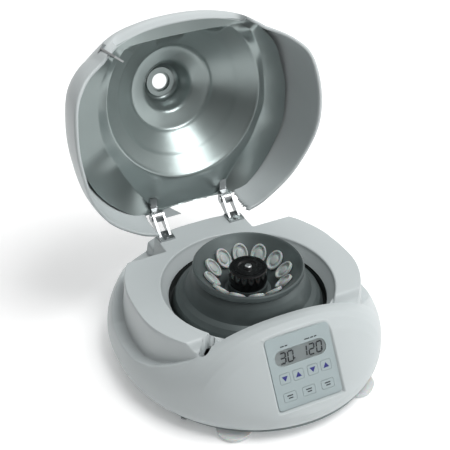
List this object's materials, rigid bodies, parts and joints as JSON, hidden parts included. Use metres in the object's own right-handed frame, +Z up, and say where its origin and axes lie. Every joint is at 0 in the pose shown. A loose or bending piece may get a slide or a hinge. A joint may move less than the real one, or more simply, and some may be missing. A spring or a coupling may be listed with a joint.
{
  "type": "mini centrifuge",
  "caption": "Round bench-top mini centrifuge, hinged dome lid standing open over a dished rotor with capped tubes, sloped front panel with display and keys.",
  "frame": {"origin": "on the rotor axis at the height of the bench top", "axes": "+Z up, -Y towards the front with the control panel, +X to the right seen from the front"},
  "size_m": [0.226, 0.2942, 0.2529],
  "materials": {
    "housing_plastic": "fine satin moulding",
    "liner_metal": "satin pressed sheet",
    "rotor_anodised": "dark anodised, satin",
    "nut_black": "gloss black",
    "steel": "bright zinc plated",
    "chamber_metal": "pressed sheet, satin",
    "motor_paint": "semi-gloss paint",
    "rubber_dark": "matt",
    "rubber_clear": "translucent white",
    "tube_plastic": "natural polypropylene",
    "panel_plastic": "printed membrane",
    "display_clear": "clear",
    "display_grey": "segment display",
    "key_grey": "satin key caps",
    "board_green": "circuit board",
    "black_plastic": "satin black",
    "window_clear": "clear"
  },
  "bodies": {
    "base": {"upper_housing": "housing_plastic", "base_pan": "housing_plastic", "rubber_feet": "rubber_clear", "pan_screws": "steel", "rotor_chamber": "chamber_metal", "chamber_gasket": "rubber_dark", "motor_plate": "chamber_metal", "vibration_dampers": "rubber_dark", "motor_can": "motor_paint", "lower_bearing": "steel", "upper_bearing": "steel", "dust_boot": "rubber_dark", "control_panel": "panel_plastic", "display_window": "display_clear", "control_board": "board_green", "display_module": "display_grey", "latch_frame": "black_plastic", "latch_spring": "steel", "hinge_bracket_left": "steel", "hinge_bracket_right": "steel", "hinge_pin_left": "steel", "hinge_pin_right": "steel", "hinge_screws": "steel", "rear_panel": "black_plastic", "mains_inlet": "black_plastic", "switch_body": "black_plastic", "power_board": "board_green"},
    "lid": {"lid_shell": "housing_plastic", "lid_liner": "liner_metal", "viewing_window": "window_clear", "window_seal": "rubber_dark", "hinge_leaf_left": "steel", "hinge_leaf_right": "steel", "lid_hook": "steel", "hinge_cover": "housing_plastic"},
    "rotor": {"motor_shaft": "steel", "rotor": "rotor_anodised", "tube_01": "tube_plastic", "tube_02": "tube_plastic", "tube_03": "tube_plastic", "tube_04": "tube_plastic", "tube_05": "tube_plastic", "tube_06": "tube_plastic", "tube_07": "tube_plastic", "tube_08": "tube_plastic", "tube_09": "tube_plastic", "tube_10": "tube_plastic", "tube_11": "tube_plastic", "tube_12": "tube_plastic"},
    "rotor_nut": {"rotor_nut": "nut_black"},
    "latch_bolt": {"latch_bolt": "steel"},
    "power_switch": {"power_switch": "black_plastic"},
    "arrow_key_1": {"arrow_key_1": "key_grey"},
    "arrow_key_2": {"arrow_key_2": "key_grey"},
    "arrow_key_3": {"arrow_key_3": "key_grey"},
    "arrow_key_4": {"arrow_key_4": "key_grey"},
    "function_key_1": {"function_key_1": "key_grey"},
    "function_key_2": {"function_key_2": "key_grey"},
    "function_key_3": {"function_key_3": "key_grey"}
  },
  "joints": [
    {"name": "lid_hinge", "type": "hinge", "parent": "base", "child": "lid", "pos_m": [0, 0.1065, 0.0817], "axis": [1, 0, 0], "range_deg": [0, 101.3]},
    {"name": "rotor_spin", "type": "hinge", "parent": "base", "child": "rotor", "pos_m": [0, 0, 0.06], "axis": [0, 0, 1], "continuous": true},
    {"name": "nut_turn", "type": "hinge", "parent": "rotor", "child": "rotor_nut", "pos_m": [0, 0, 0.078], "axis": [0, 0, 1], "range_deg": [0, 180]},
    {"name": "latch_travel", "type": "slide", "parent": "base", "child": "latch_bolt", "axis": [-0.6485, 0.7612, 0], "range_m": [0, 0.005], "stiffness_N_per_m": 200, "deforming": ["latch_spring"]},
    {"name": "power_rocker", "type": "hinge", "parent": "base", "child": "power_switch", "pos_m": [0.022, 0.1095, 0.029], "axis": [-1, 0, 0], "range_deg": [0, 14]},
    {"name": "arrow_key_1_press", "type": "slide", "parent": "base", "child": "arrow_key_1", "axis": [0, 0.865, -0.5017], "range_m": [0, 0.0005], "stiffness_N_per_m": 400},
    {"name": "arrow_key_2_press", "type": "slide", "parent": "base", "child": "arrow_key_2", "axis": [0, 0.865, -0.5017], "range_m": [0, 0.0005], "stiffness_N_per_m": 400},
    {"name": "arrow_key_3_press", "type": "slide", "parent": "base", "child": "arrow_key_3", "axis": [0, 0.865, -0.5017], "range_m": [0, 0.0005], "stiffness_N_per_m": 400},
    {"name": "arrow_key_4_press", "type": "slide", "parent": "base", "child": "arrow_key_4", "axis": [0, 0.865, -0.5017], "range_m": [0, 0.0005], "stiffness_N_per_m": 400},
    {"name": "function_key_1_press", "type": "slide", "parent": "base", "child": "function_key_1", "axis": [0, 0.865, -0.5017], "range_m": [0, 0.0005], "stiffness_N_per_m": 400},
    {"name": "function_key_2_press", "type": "slide", "parent": "base", "child": "function_key_2", "axis": [0, 0.865, -0.5017], "range_m": [0, 0.0005], "stiffness_N_per_m": 400},
    {"name": "function_key_3_press", "type": "slide", "parent": "base", "child": "function_key_3", "axis": [0, 0.865, -0.5017], "range_m": [0, 0.0005], "stiffness_N_per_m": 400}
  ]
}
